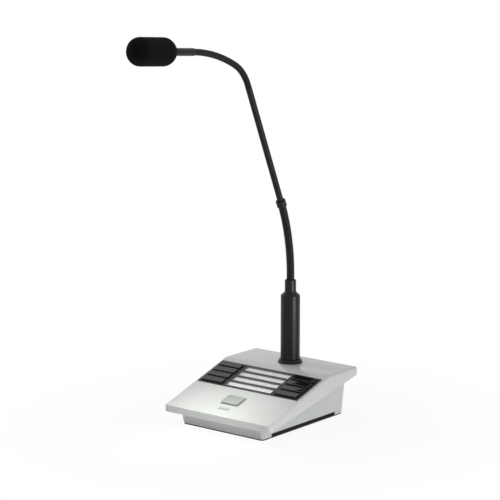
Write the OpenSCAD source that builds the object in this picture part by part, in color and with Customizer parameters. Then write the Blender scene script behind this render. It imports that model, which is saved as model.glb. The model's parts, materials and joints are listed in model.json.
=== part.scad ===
// Paging microphone: a wedge-shaped desk base with eight zone keys and a talk key,
// a barrel stem on the rear deck, and a gooseneck that carries a microphone in a foam windscreen.
// Origin on the table, under the middle of the base. +Z up, +Y to the rear, +X to the user's right.

/* [Top shell] */
// Width of the top shell
base_w = 140; // [136:1:170]
// Depth of the top shell
base_d = 150; // [146:1:180]
// Height of the flat rear deck above the table
deck_z = 52; // [50:0.5:56]
// Height of the front lip's upper edge above the table
lip_z = 20; // [19:0.5:22]
// Height of the skirt at the front lip
lip_h = 7; // [6:0.5:8]
// Height of the skirt at the rear edge
rear_skirt_h = 7; // [5:0.5:9]
// Slope of the control panel
panel_slope = 17.7; // [16.5:0.1:18.5]
// Radius of the bend between the control panel and the rear deck
bend_r = 40; // [20:1:60]
// Corner radius of the shell seen from above
corner_r = 5; // [4:0.5:8]
// Radius of the shell's upper edges along its sides
edge_r = 4; // [3:0.5:4.5]
// Wall thickness of the mouldings
wall = 2; // [1.6:0.1:2.4]

/* [Pedestal] */
// Set-back of the pedestal's side walls from the shell's sides, at the table
foot_side = 17; // [13.5:0.5:17]
// Set-back of the pedestal's front wall from the shell's front, at the table
foot_front = 10; // [9:0.5:14]
// Set-back of the pedestal's rear wall from the shell's rear, at the table
foot_rear = 4; // [4:0.5:8]
// How far each side wall leans out between the table and the deck's skirt
side_flare = 4; // [2:0.5:5]
// How far the front wall would lean out over the same height
front_flare = 8; // [4:0.5:9]
// How far the rear wall leans out over the same height
rear_flare = 1; // [0.5:0.5:1.5]
// Corner radius of the pedestal
foot_corner_r = 4; // [4:0.5:8]
// Height of the shadow gap between the mat and each side wall
side_gap_h = 3.6; // [2.2:0.1:4]
// Distance of the shadow gap's ends from the pedestal's front and rear
side_gap_end = 14; // [12.5:0.5:20]
// Thickness of the inclined flange under the shell
flange_t = 1.5; // [1.2:0.1:2]
// Thickness of the anti-slip mat
mat_t = 1.4; // [1.2:0.1:2.4]
// Thickness of the steel bottom plate
plate_t = 2; // [1.5:0.1:2.5]

/* [Zone keys] */
// Rows of zone keys on each side
key_rows = 4; // [2:1:4]
// Distance between key rows along the panel
row_pitch = 10.3; // [10:0.1:10.6]
// Distance of the first key row from the lip, along the panel
first_row_u = 58.5; // [58:0.5:63]
// Distance of a key's middle from the shell's side
key_edge = 21.5; // [20.5:0.1:26]
// Width of a key cap
key_w = 28; // [26:0.5:32]
// Depth of a key cap along the panel
key_d = 8.2; // [7.6:0.1:8.4]
// Travel of a zone key
key_travel = 1.2; // [0.8:0.1:1.2]
// Gap round a key cap in its slot
key_gap = 0.35; // [0.3:0.05:0.4]
// How far a fully pressed key still stands proud
pressed_proud = 0.3; // [0.3:0.1:1]

/* [Talk key and lamp] */
// Width of the talk key
talk_w = 22; // [20:0.5:32]
// Depth of the talk key along the panel
talk_d = 16; // [14:0.5:20]
// Distance of the talk key's middle from the lip, along the panel
talk_u = 30; // [29.5:0.5:33]
// Travel of the talk key
talk_travel = 1.5; // [1:0.1:1.5]
// Width of the status lamp's window
lamp_w = 13; // [8:0.5:16]
// Depth of the status lamp's window along the panel
lamp_d = 4; // [3:0.1:4.5]
// Distance of the lamp's middle from the lip, along the panel
lamp_u = 14; // [13.5:0.1:14.5]

/* [Label frame] */
// Width of the label frame's rim beside a label window
label_side_rim = 1.6; // [1.5:0.1:3]
// Depth of a label window along the panel
label_d = 8; // [6:0.1:8.9]

/* [Stem] */
// Distance of the stem from the middle of the base towards the rear
stem_y = 48.5; // [46:0.5:50]
// Diameter of the barrel
barrel_d = 20.5; // [18:0.5:22]
// Height of the barrel above its collar
barrel_h = 69; // [60:1:80]
// Diameter of the collar at the barrel's foot
collar_d = 26; // [25:0.5:30]
// Height of the collar
collar_h = 4; // [3:0.5:6]
// Diameter of the threaded stud under the barrel
stud_d = 12; // [10:0.5:13]
// Diameter of the ferrule above the barrel
ferrule_d = 12; // [11:0.2:13]
// Height of the ferrule above the barrel
ferrule_h = 16; // [12:0.5:20]

/* [Gooseneck] */
// Diameter of the lower flexible section
lower_flex_d = 8.4; // [7:0.1:9]
// Diameter of the rigid tube and of the upper flexible section
upper_flex_d = 6.6; // [5.4:0.1:7]
// Straight length between the ferrule and the first knuckle
neck_start = 5; // [4:0.5:8]
// Bend radius of the lower flexible section
lower_bend_r = 195; // [180:5:240]
// Forward lean of the rigid tube
tube_lean = 23.5; // [18:0.5:28]
// Length of the rigid tube between the coupling and the upper bend
tube_len = 138; // [110:1:150]
// Radius of the tight part of the upper bend
tight_bend_r = 44; // [36:1:50]
// Lean from the vertical where the tight bend ends
tight_end_lean = 64; // [58:1:68]
// Radius of the wide part of the upper bend
wide_bend_r = 170; // [140:5:180]
// Lean of the microphone from the vertical
head_lean = 86; // [80:0.5:90]
// Bore of the gooseneck for the signal cable
neck_bore = 3; // [2.8:0.1:3.2]
// Diameter of the signal cable
cable_d = 2.2; // [1.8:0.1:2.4]
// Length of the coupling between the flexible section and the rigid tube
coupling_len = 8; // [6:0.5:10]
// Wall of the coupling round the flexible section
coupling_wall = 1; // [0.8:0.1:1.5]

/* [Microphone] */
// Diameter of the microphone's rod
rod_d = 7.8; // [6.8:0.1:8.4]
// Length of the rod from the gooseneck to the windscreen
rod_len = 31; // [30:1:50]
// Diameter of the capsule housing in the windscreen
capsule_d = 12; // [10:0.5:14]
// Length of the capsule housing
capsule_len = 30; // [26:1:34]
// Diameter of the windscreen
foam_d = 28; // [24:0.5:34]
// Length of the windscreen
foam_len = 58; // [54:1:64]

/* [Circuit boards] */
// Thickness of the circuit boards
board_t = 1.6; // [1.2:0.1:2]
// Depth of the key board's upper face under the panel's surface
board_depth = 9; // [8.6:0.1:9.4]
// Side of a key switch
switch_side = 6; // [5.6:0.1:6.4]
// Diameter of the plungers under the keys
plunger_d = 3.4; // [3:0.1:3.6]
// Height of the connector board's standoffs
standoff_h = 4; // [3:0.5:5]

/* [Network socket] */
// Distance of the socket's middle from the shell's side
socket_side = 47; // [47:0.5:52]
// Width of the socket's body
socket_w = 16; // [15:0.1:17]
// Height of the socket's body
socket_h = 13.5; // [12.5:0.1:14]
// Depth of the socket's body
socket_depth = 21; // [18:0.5:24]
// Width of the socket's cavity
cavity_w = 12; // [11.6:0.1:12.4]
// Height of the socket's cavity
cavity_h = 7; // [6.6:0.1:7.4]
// Depth of the socket's cavity
cavity_depth = 13; // [11:0.5:15]

/* [Fasteners and fits] */
// Shank diameter of the screws in the casing
screw_d = 3; // [2.6:0.1:3.2]
// Shank diameter of the screws in the circuit boards
board_screw_d = 2.2; // [2:0.1:2.6]
// Radial clearance of a screw in its bore
screw_gap = 0.1; // [0.05:0.05:0.2]
// Clearance of a bezel in its opening
fit_gap = 0.2; // [0.1:0.05:0.3]
// Radial clearance of a tube in its socket
tube_gap = 0.05; // [0.03:0.01:0.1]
// Clearance between pieces that move past each other
run_gap = 0.3; // [0.25:0.05:0.35]

/* [Hidden] */
$fn = 64;
// Depth by which a cut passes through a face
over = 1;

// Base: planes and levels
skirt_front_z = lip_z - lip_h;
skirt_rear_z = deck_z - rear_skirt_h;
skirt_slope = atan((skirt_rear_z - skirt_front_z) / base_d);
skirt_len = norm([base_d, skirt_rear_z - skirt_front_z]);
plate_z = mat_t;
plate_top = plate_z + plate_t;
foot_w = base_w - 2 * foot_side;
foot_d = base_d - foot_front - foot_rear;
foot_mid_y = (foot_front - foot_rear) / 2;
flange_gap = 0.3;
plate_gap = 0.3;

// Screws in the casing: the bosses run into the walls beside them
boss_wall = 2.25;
boss_d = screw_d + 2 * boss_wall;
boss_sink = 0.3;
hole_gap = 0.2;
screw_tip_gap = 0.5;
head_d = screw_d * 2;
head_t = 1.2;
head_gap = 0.5;
corner_boss = [for (span = [foot_w, foot_d]) span / 2 - wall - boss_d / 2 + boss_sink];
corner_boss_h = 15;
shell_boss_x = base_w / 2 - wall - boss_d / 2 + 2 * boss_sink;
shell_boss_inset = 17;
shell_boss_v = [shell_boss_inset, skirt_len - shell_boss_inset];
shell_screw_len = 4;
bottom_screw_len = 8;

// Control panel: bezels, keys and labels
bezel_t = 0.8;
bezel_margin = 1.4;
bezel_brim = 1.8;
bezel_rib = 0.5;
key_x = base_w / 2 - key_edge;
slot_w = key_w + 2 * key_gap;
slot_d = key_d + 2 * key_gap;
rows_d = (key_rows - 1) * row_pitch;
bezel_d = rows_d + row_pitch + 2 * bezel_margin;
bezel_body_d = rows_d + slot_d + 2 * bezel_rib;
bezel_body_w = slot_w + 2 * bezel_rib;
bezel_w = bezel_body_w + 2 * fit_gap + 2 * bezel_brim;
rows_mid_u = first_row_u + rows_d / 2;
key_flange_t = 1;
key_flange_side = 1;
key_flange_w = slot_w + 2 * key_flange_side;
key_flange_d = row_pitch - 2 * run_gap;
key_rest = 0.2;
key_proud = bezel_t + key_travel + pressed_proud;
talk_proud = talk_travel + pressed_proud;
label_frame_gap = 0.4;
label_frame_brim = 1;
label_frame_w = 2 * (key_x - bezel_w / 2 - label_frame_gap);
label_frame_body_w = label_frame_w - 2 * label_frame_brim;
label_w = label_frame_w - 2 * label_side_rim;
label_body_d = rows_d + label_d + 2 * label_frame_brim;
label_floor_t = 0.8;
label_card_t = 0.3;
label_rim = 0.8;
talk_flange = 1.2;
lamp_flange = 1;
lamp_proud = 0.3;

// Key board under the panel
switch_bore_d = plunger_d + 2 * run_gap;
plunger_in = 1.2;
longest_travel = max(key_travel, talk_travel);
switch_top = -(wall + key_rest + key_flange_t + longest_travel + run_gap);
switch_bore_depth = plunger_in + longest_travel + run_gap;
board_side_gap = 17.5;
board_w = base_w - 2 * board_side_gap;
board_margin = 9;
board_front_u = rows_mid_u - bezel_d / 2 - board_margin;
board_rear_u = rows_mid_u + bezel_d / 2 + board_margin;
tongue_w = 44;
tongue_u = 16;
post_from_key = 8;
post_x = key_x - post_from_key;
post_margin = 4.8;
post_u = [rows_mid_u - bezel_d / 2 - post_margin, rows_mid_u + bezel_d / 2 + post_margin];
post_d = 6.5;
board_screw_len = 7;
board_screw_head_d = board_screw_d * 2;
board_screw_head_t = 1.5;
led_d = 3;
led_gap = 0.4;
led_leg = 4;

// Connector board on the bottom plate
io_z = plate_top + standoff_h;
io_top = io_z + board_t;
io_side_gap = 12;
io_w = foot_w - 2 * io_side_gap;
io_d = 58;
io_rear_gap = 2;
io_rear_y = base_d / 2 - foot_rear - wall - io_rear_gap;
io_screw_inset = 5;
io_screw_x = io_w / 2 - io_screw_inset;
io_screw_y = [io_rear_y - io_d + io_screw_inset, io_rear_y - io_screw_inset];
io_screw_len = 3.4;
header_h = 5;
header_side = 8;
standoff_d = 6;
socket_x = base_w / 2 - socket_side;
socket_proud = 1.5;
socket_front_y = base_d / 2 - foot_rear + socket_proud;
socket_z = io_top;
socket_top = socket_z + socket_h;
cavity_z = socket_z + (socket_h - cavity_h) / 2;
latch_h = 2;
latch_w = 6;
socket_gap = 0.3;
ribbon_w = 22;
ribbon_t = 0.9;
ribbon_inset = 10;
ribbon_y = io_rear_y - io_d + ribbon_inset;
ribbon_header_d = 5;
ribbon_header_rim = 2;
ribbon_header_w = ribbon_w + 2 * ribbon_header_rim;

// Stem
collar_top = deck_z + collar_h;
barrel_top = collar_top + barrel_h;
ferrule_top = barrel_top + ferrule_h;
barrel_wall = 2;
barrel_floor = 4;
barrel_bore = barrel_d - 2 * barrel_wall;
stud_gap = 0.2;
stud_bore = 5;
washer_rim = 5;
washer_d = stud_d + 2 * washer_rim;
washer_t = 1.2;
nut_rim = 3;
nut_af = stud_d + 2 * nut_rim;
nut_h = 6;
stud_past_nut = 2;
stud_low = deck_z - wall - washer_t - nut_h - stud_past_nut;
ferrule_plug_h = 6;
ferrule_cap_h = 2;
preamp_w = 13;
preamp_h = 50;
preamp_z = collar_top + barrel_floor;
stem_cable_d = 3;

// Gooseneck: centre line in the plane x = 0 as (y, z), and lean from the vertical towards the front
function heading(lean) = [-sin(lean), cos(lean)];
function side(lean) = [cos(lean), sin(lean)];
function bend_centre(p, lean, r) = p - r * side(lean);
function arc_degrees(len, r) = len / r * 180 / PI;
lower_r = lower_flex_d / 2;
upper_r = upper_flex_d / 2;
// A cup ends this share of the tube's radius below its pivot, so that the tube above can tilt
cup_share = 0.52;
// A ball is this much smaller than its tube
ball_step = 0.1;
function ball_r(outer_d) = outer_d / 2 - ball_step;
coupling_web = coupling_len / 4;
// A straight length of cable is this much thinner than the bent length that it runs into
cable_step = 0.1;
cable_lap = 0.5;
k1 = [stem_y, ferrule_top + neck_start];
lower_centre = bend_centre(k1, 0, lower_bend_r);
k2_lean = tube_lean / 2;
k2 = lower_centre + lower_bend_r * side(k2_lean);
tube_start = lower_centre + lower_bend_r * side(tube_lean);
k3 = tube_start + tube_len * heading(tube_lean);
tight_centre = bend_centre(k3, tube_lean, tight_bend_r);
k4 = tight_centre + tight_bend_r * side(tight_end_lean);
wide_centre = bend_centre(k4, tight_end_lean, wide_bend_r);
rod_start = wide_centre + wide_bend_r * side(head_lean);

// Microphone, measured along the rod from the end of the gooseneck
rod_wall = 0.8;
foam_start = rod_len;
foam_end = foam_start + foam_len;
capsule_set_in = 6;
capsule_start = foam_start + capsule_set_in;
capsule_end = capsule_start + capsule_len;
capsule_wall = 0.8;
capsule_fit_d = capsule_d - 2 * capsule_wall - 2 * tube_gap;
capsule_floor = 2;
grille_t = 1;
capsule_unit_h = 7;
foam_gap = 0.3;
foam_nose_flat = 5;

function zone_key_name(i) = str("zone_key_", i + 1);
ZONE_KEYS = [for (i = [0 : 2 * key_rows - 1]) zone_key_name(i)];

// Frames: x across, y along the sloping face from its front edge, z out of it

module on_panel() {
    translate([0, -base_d / 2, lip_z]) rotate([panel_slope, 0, 0]) children();
}

module on_skirt() {
    translate([0, -base_d / 2, skirt_front_z]) rotate([skirt_slope, 0, 0]) children();
}

// A point of the gooseneck's plane, with z along its centre line there
module on_neck(p, lean) {
    translate([0, p.x, p.y]) rotate([lean, 0, 0]) children();
}

// Shapes that several pieces share

module rounded_rect(w, d, r) {
    square([w - 2 * r, d], center = true);
    square([w, d - 2 * r], center = true);
    for (sx = [-1, 1], sy = [-1, 1])
        translate([sx * (w / 2 - r), sy * (d / 2 - r)]) circle(r);
}

// A box with its middle at x, y and its faces at two heights
module slab(x, y, w, d, low, high) {
    translate([x - w / 2, y - d / 2, low]) cube([w, d, high - low]);
}

module tube(outer_d, inner_d, h) {
    difference() {
        cylinder(d = outer_d, h = h);
        translate([0, 0, -over]) cylinder(d = inner_d, h = h + 2 * over);
    }
}

// A screw that points up, with the underside of its head at z = 0
module screw(shank_d, shank_len, cap_d, cap_t) {
    difference() {
        translate([0, 0, -cap_t]) cylinder(d = cap_d, h = cap_t);
        translate([0, 0, -cap_t - over]) cylinder(d = shank_d, h = cap_t / 2 + over, $fn = 6);
    }
    cylinder(d = shank_d, h = shank_len);
}

module mirror_x() {
    children();
    mirror([1, 0, 0]) children();
}

// Casing

// Side outline of the top shell in (y, z), drawn in by an even margin and lowered past its open edge
module shell_outline(inset, below) {
    front = -base_d / 2 + inset;
    rear = base_d / 2 - inset;
    top = deck_z - inset;
    front_z = lip_z + inset * tan(panel_slope) - inset / cos(panel_slope);
    break_y = front + (top - front_z) / tan(panel_slope);
    r = bend_r - inset;
    tangent = r * tan(panel_slope / 2);
    bend_start = [break_y - tangent * cos(panel_slope), top - tangent * sin(panel_slope)];
    bend_end = [break_y + tangent, top];
    centre = [break_y + tangent, top - r];
    low_front = skirt_front_z + inset * tan(skirt_slope) - below;
    low_rear = skirt_rear_z - inset * tan(skirt_slope) - below;
    polygon([[front, front_z], bend_start, bend_end, [rear, top], [rear, low_rear], [front, low_front]]);
    intersection() {
        translate(centre) circle(r, $fn = 180);
        polygon([for (reach = [[bend_start, 0.95], [bend_start, 1.1], [bend_end, 1.1], [bend_end, 0.95]])
            centre + reach[1] * (reach[0] - centre)]);
    }
}

// A long bar that encloses what lies under a face at z = 0, just clear of it, and rounds its side edges
module round_edged_bar(inset) {
    clear = 0.05;
    w = base_w - 2 * inset + 2 * clear;
    r = edge_r - inset;
    translate([0, 0, clear]) rotate([90, 0, 0]) linear_extrude(3 * base_d, center = true) {
        translate([-w / 2, -2 * base_d]) square([w, 2 * base_d - r]);
        translate([-w / 2 + r, -2 * r]) square([w - 2 * r, 2 * r]);
        for (sx = [-1, 1]) translate([sx * (w / 2 - r), -r]) circle(r);
    }
}

module shell_solid(inset = 0, below = 0) {
    intersection() {
        rotate([90, 0, 90])
            linear_extrude(base_w, center = true) shell_outline(inset, below);
        linear_extrude(deck_z + over)
            rounded_rect(base_w - 2 * inset, base_d - 2 * inset, corner_r - inset);
        on_panel() translate([0, 0, -inset]) round_edged_bar(inset);
        translate([0, 0, deck_z - inset]) round_edged_bar(inset);
    }
}

module at_shell_screws() {
    on_skirt() mirror_x()
        for (v = shell_boss_v) translate([shell_boss_x, v, 0]) children();
}

module at_board_screws() {
    on_panel() mirror_x()
        for (u = post_u) translate([post_x, u, -board_depth]) children();
}

// An opening through the panel for a piece of the given size, with a gap all round
module panel_opening(x, u, w, d, gap) {
    slab(x, u, w + 2 * gap, d + 2 * gap, -2 * wall, over);
}

module top_shell() {
    color("#c3c8c4") difference() {
        union() {
            difference() {
                shell_solid();
                shell_solid(inset = wall, below = deck_z);
            }
            intersection() {
                shell_solid(inset = wall / 2);
                union() {
                    at_shell_screws() translate([0, 0, flange_t]) cylinder(d = boss_d, h = deck_z);
                    at_board_screws() cylinder(d = post_d, h = board_depth);
                }
            }
        }
        at_shell_screws()
            cylinder(d = screw_d + 2 * screw_gap, h = flange_t + shell_screw_len + screw_tip_gap);
        at_board_screws() translate([0, 0, -over])
            cylinder(d = board_screw_d + 2 * screw_gap, h = board_depth - wall + over);
        on_panel() {
            mirror_x() panel_opening(key_x, rows_mid_u, bezel_body_w, bezel_body_d, fit_gap);
            panel_opening(0, rows_mid_u, label_frame_body_w, label_body_d, fit_gap);
            panel_opening(0, talk_u, talk_w, talk_d, key_gap);
            panel_opening(0, lamp_u, lamp_w, lamp_d, fit_gap);
        }
        translate([0, stem_y, deck_z - 2 * wall]) cylinder(d = stud_d + 2 * stud_gap, h = 4 * wall);
    }
}

// The pedestal's flared block between the mat and the deck's skirt, drawn in by an even margin
module flared_block(inset) {
    leaf = 0.01;
    r = foot_corner_r - inset;
    top_w = foot_w + 2 * side_flare;
    top_d = foot_d + front_flare + rear_flare;
    hull() {
        translate([0, foot_mid_y, mat_t - inset])
            linear_extrude(leaf) rounded_rect(foot_w - 2 * inset, foot_d - 2 * inset, r, $fn = 32);
        translate([0, foot_mid_y + (rear_flare - front_flare) / 2, skirt_rear_z + inset])
            linear_extrude(leaf) rounded_rect(top_w - 2 * inset, top_d - 2 * inset, r, $fn = 32);
    }
}

// Everything between the table and a plane parallel to the skirt's edge
module under_skirt(rise) {
    intersection() {
        on_skirt() translate([0, skirt_len / 2, rise - deck_z])
            slab(0, 0, 2 * base_w, 2 * base_d, 0, deck_z);
        slab(0, 0, base_w, base_d, 0, deck_z);
    }
}

module at_bottom_screws() {
    mirror_x() for (sy = [-1, 1])
        translate([corner_boss.x, foot_mid_y + sy * corner_boss.y, plate_z]) children();
}

// A boss for a bottom screw, with the rib that joins it to the side wall
module ribbed_boss() {
    cylinder(d = boss_d, h = corner_boss_h);
    slab(boss_d / 2, 0, boss_d, wall, 0, corner_boss_h);
}

module flange_plate() {
    flange_w = base_w - 2 * wall - 2 * flange_gap;
    flange_d = base_d - 2 * wall - 2 * flange_gap;
    intersection() {
        on_skirt() slab(0, skirt_len / 2, 2 * base_w, 2 * base_d, 0, flange_t);
        linear_extrude(deck_z) rounded_rect(flange_w, flange_d, corner_r - wall);
    }
}

module lower_housing() {
    color("#b9beba") difference() {
        union() {
            intersection() {
                flared_block(0);
                under_skirt(flange_t);
            }
            flange_plate();
        }
        difference() {
            flared_block(wall);
            at_bottom_screws() translate([0, 0, plate_t]) ribbed_boss();
        }
        at_bottom_screws() cylinder(d = screw_d + 2 * screw_gap, h = plate_t + corner_boss_h - wall);
        at_shell_screws() translate([0, 0, -over])
            cylinder(d = screw_d + 2 * hole_gap, h = flange_t + 2 * over);
        slab(socket_x, base_d / 2, socket_w + 2 * socket_gap, 2 * foot_rear + 6 * wall,
            socket_z - socket_gap, socket_top + socket_gap);
        slab(0, foot_mid_y, base_w, foot_d - 2 * side_gap_end, 0, mat_t + side_gap_h);
    }
}

module foot_outline(inset) {
    translate([0, foot_mid_y]) rounded_rect(foot_w - 2 * inset, foot_d - 2 * inset, foot_corner_r - inset);
}

module anti_slip_mat() {
    mat_inset = 0.5;
    color("#262829") difference() {
        linear_extrude(mat_t) foot_outline(mat_inset);
        at_bottom_screws() translate([0, 0, -mat_t - over])
            cylinder(d = head_d + 2 * head_gap, h = mat_t + 2 * over);
    }
}

module at_io_screws() {
    mirror_x() for (y = io_screw_y) translate([io_screw_x, y, io_top]) children();
}

// The plate lies between the pedestal's walls, against the corner bosses
module bottom_plate() {
    color("#3a3d3f") difference() {
        union() {
            translate([0, 0, plate_z]) linear_extrude(plate_t) foot_outline(wall + plate_gap);
            at_io_screws() translate([0, 0, -board_t - standoff_h - plate_t / 2])
                cylinder(d = standoff_d, h = standoff_h + plate_t / 2);
        }
        at_bottom_screws() translate([0, 0, -over])
            cylinder(d = screw_d + 2 * hole_gap, h = plate_t + 2 * over);
        at_io_screws() translate([0, 0, -board_t - standoff_h])
            cylinder(d = board_screw_d + 2 * screw_gap, h = standoff_h + over);
    }
}

module bottom_screws() {
    color("#8d9092") at_bottom_screws() screw(screw_d, plate_t + bottom_screw_len, head_d, head_t);
}

module shell_screws() {
    color("#8d9092") at_shell_screws() screw(screw_d, flange_t + shell_screw_len, head_d, head_t);
}

// Circuit boards

module io_board() {
    color("#1f5b3a") difference() {
        union() {
            slab(0, io_rear_y - io_d / 2, io_w, io_d, io_z, io_top);
            slab(0, stem_y, header_side, header_side, io_top - board_t / 2, io_top + header_h);
            slab(0, ribbon_y, ribbon_header_w, ribbon_header_d, io_top - board_t / 2, io_top + header_h);
        }
        at_io_screws() translate([0, 0, -board_t - over])
            cylinder(d = board_screw_d + 2 * hole_gap, h = board_t + 2 * over);
    }
}

module io_board_screws() {
    color("#8d9092") at_io_screws() rotate([180, 0, 0])
        screw(board_screw_d, board_t + io_screw_len, board_screw_head_d, board_screw_head_t);
}

module network_socket() {
    color("#2b2d2f") difference() {
        slab(socket_x, socket_front_y - socket_depth / 2, socket_w, socket_depth, socket_z, socket_top);
        slab(socket_x, socket_front_y, cavity_w, 2 * cavity_depth, cavity_z, cavity_z + cavity_h);
        slab(socket_x, socket_front_y, latch_w, 2 * cavity_depth, cavity_z, cavity_z + cavity_h + latch_h);
    }
}

// The flat cable stands on the connector board's header and ends against the key board
module ribbon_cable() {
    color("#8f9396") difference() {
        slab(0, ribbon_y, ribbon_w, ribbon_t, io_top + header_h, deck_z);
        on_panel() slab(0, skirt_len / 2, base_w, base_d, -board_depth - board_t, deck_z);
    }
}

module main_board() {
    color("#1f5b3a") difference() {
        on_panel() translate([0, 0, -board_depth - board_t]) {
            slab(0, (board_front_u + board_rear_u) / 2, board_w, board_rear_u - board_front_u, 0, board_t);
            slab(0, (tongue_u + board_front_u) / 2, tongue_w, board_front_u - tongue_u, 0, board_t);
        }
        at_board_screws() translate([0, 0, -board_t - over])
            cylinder(d = board_screw_d + 2 * hole_gap, h = board_t + 2 * over);
    }
}

module board_screws() {
    color("#8d9092") at_board_screws() translate([0, 0, -board_t])
        screw(board_screw_d, board_screw_len, board_screw_head_d, board_screw_head_t);
}

module at_zone_keys() {
    mirror_x() for (row = [0 : key_rows - 1])
        translate([key_x, first_row_u + row * row_pitch, 0]) children();
}

// A switch on the key board, with the guide bore for its key's plunger
module key_switch() {
    difference() {
        slab(0, 0, switch_side, switch_side, -board_depth, switch_top);
        translate([0, 0, switch_top - switch_bore_depth])
            cylinder(d = switch_bore_d, h = switch_bore_depth + over);
    }
}

module key_switches() {
    color("#2f3133") on_panel() {
        at_zone_keys() key_switch();
        translate([0, talk_u, 0]) key_switch();
    }
}

module status_led() {
    seat = wall + lamp_flange + led_gap;
    color("#d8e8c8") on_panel() translate([0, lamp_u, -board_depth]) {
        translate([0, 0, seat]) cylinder(d = led_d, h = board_depth - 2 * seat);
        slab(0, led_d, led_d, led_d + led_leg, 0, seat);
    }
}

module status_lens() {
    color("#dfe6dc") on_panel() {
        slab(0, lamp_u, lamp_w, lamp_d, -wall - lamp_flange, lamp_proud);
        slab(0, lamp_u, lamp_w + 2 * lamp_flange, lamp_d + 2 * lamp_flange, -wall - lamp_flange, -wall);
    }
}

// Control panel

module bezel() {
    difference() {
        union() {
            slab(key_x, rows_mid_u, bezel_w, bezel_d, 0, bezel_t);
            slab(key_x, rows_mid_u, bezel_body_w, bezel_body_d, -wall, bezel_t);
        }
        for (row = [0 : key_rows - 1])
            slab(key_x, first_row_u + row * row_pitch, slot_w, slot_d, -wall - over, bezel_t + over);
    }
}

module left_bezel() {
    color("#1d1e20") on_panel() mirror([1, 0, 0]) bezel();
}

module right_bezel() {
    color("#1d1e20") on_panel() bezel();
}

// A key cap with its retaining flange and the plunger that enters its switch
module key_body(w, d, proud, flange_w, flange_d) {
    flange_top = -wall - key_rest;
    slab(0, 0, w, d, flange_top - key_flange_t, proud);
    slab(0, 0, flange_w, flange_d, flange_top - key_flange_t, flange_top);
    translate([0, 0, switch_top - plunger_in])
        cylinder(d = plunger_d, h = flange_top - switch_top + plunger_in);
}

// Keys run from front to rear, first up the left side and then up the right side
module zone_key(i) {
    x = i < key_rows ? -key_x : key_x;
    color("#2a2b2e") on_panel() translate([x, first_row_u + (i % key_rows) * row_pitch, 0])
        key_body(key_w, key_d, key_proud, key_flange_w, key_flange_d);
}

module talk_key() {
    flange = 2 * (key_gap + talk_flange);
    color("#b4bdb0") on_panel() translate([0, talk_u, 0])
        key_body(talk_w, talk_d, talk_proud, talk_w + flange, talk_d + flange);
}

module at_labels() {
    on_panel() for (row = [0 : key_rows - 1])
        translate([0, first_row_u + row * row_pitch, -wall + label_floor_t]) children();
}

module label_frame() {
    color("#3b3e40") difference() {
        on_panel() {
            slab(0, rows_mid_u, label_frame_w, bezel_d, 0, label_rim);
            slab(0, rows_mid_u, label_frame_body_w, label_body_d, -wall, label_rim);
        }
        at_labels() slab(0, 0, label_w, label_d, 0, 2 * wall);
    }
}

module label_cards() {
    card_gap = 0.2;
    color("#f4f4f0") at_labels()
        slab(0, 0, label_w - 2 * card_gap, label_d - 2 * card_gap, 0, label_card_t);
}

module label_windows() {
    window_gap = 0.1;
    window_top = wall - label_floor_t + label_rim / 2;
    color("#e3ece8") at_labels()
        slab(0, 0, label_w - 2 * window_gap, label_d - 2 * window_gap, label_card_t, window_top);
}

// Stem

module stem_collar() {
    collar_lip = 1.2;
    barrel_step = 1;
    color("#1c1d1f") translate([0, stem_y, deck_z]) rotate_extrude() polygon([
        [stud_d / 2 + stud_gap, 0],
        [collar_d / 2, 0],
        [collar_d / 2, collar_lip],
        [barrel_d / 2 + barrel_step, collar_h],
        [stud_d / 2 + stud_gap, collar_h]
    ]);
}

module stem_barrel() {
    chamfer = 0.8;
    color("#1c1d1f") translate([0, stem_y, 0]) rotate_extrude() polygon([
        [stud_bore / 2, stud_low],
        [stud_d / 2, stud_low],
        [stud_d / 2, collar_top],
        [barrel_d / 2, collar_top],
        [barrel_d / 2, barrel_top - chamfer],
        [barrel_d / 2 - chamfer, barrel_top],
        [barrel_bore / 2, barrel_top],
        [barrel_bore / 2, preamp_z],
        [stud_bore / 2, preamp_z]
    ]);
}

module stem_washer() {
    color("#9a9da0") translate([0, stem_y, deck_z - wall - washer_t])
        tube(washer_d, stud_d + 2 * stud_gap, washer_t);
}

module stem_nut() {
    across_corners = nut_af / cos(30);
    color("#9a9da0") translate([0, stem_y, deck_z - wall - washer_t - nut_h]) difference() {
        cylinder(d = across_corners, h = nut_h, $fn = 6);
        translate([0, 0, -over]) cylinder(d = stud_d + 2 * tube_gap, h = nut_h + 2 * over);
    }
}

// The lead from the preamplifier to the connector board
module stem_cable() {
    color("#2d2e30") translate([0, stem_y, io_top + header_h])
        cylinder(d = stem_cable_d, h = preamp_z - io_top - header_h);
}

module preamp_board() {
    color("#1f5b3a") slab(0, stem_y, preamp_w, board_t, preamp_z, preamp_z + preamp_h);
}

module stem_ferrule() {
    taper = 1;
    barrel_step = 1;
    color("#1c1d1f") translate([0, stem_y, 0]) rotate_extrude() polygon([
        [neck_bore / 2, barrel_top - ferrule_plug_h],
        [barrel_bore / 2 - tube_gap, barrel_top - ferrule_plug_h],
        [barrel_bore / 2 - tube_gap, barrel_top],
        [barrel_d / 2 - barrel_step, barrel_top],
        [ferrule_d / 2 + taper, barrel_top + ferrule_cap_h],
        [ferrule_d / 2, barrel_top + ferrule_cap_h + taper],
        [ferrule_d / 2, ferrule_top - taper],
        [ferrule_d / 2 - taper, ferrule_top],
        [lower_r + tube_gap, ferrule_top],
        [lower_r + tube_gap, barrel_top + ferrule_cap_h],
        [neck_bore / 2, barrel_top + ferrule_cap_h]
    ]);
}

// Gooseneck

// A solid rod bent round a centre in the gooseneck's plane, between two leans
module bent_rod(centre, bend, from_lean, to_lean, rod_dia) {
    translate([0, centre.x, centre.y]) rotate([90, 0, 90]) rotate([0, 0, from_lean])
        rotate_extrude(angle = to_lean - from_lean, $fn = 180) translate([bend, 0]) circle(d = rod_dia);
}

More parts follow.
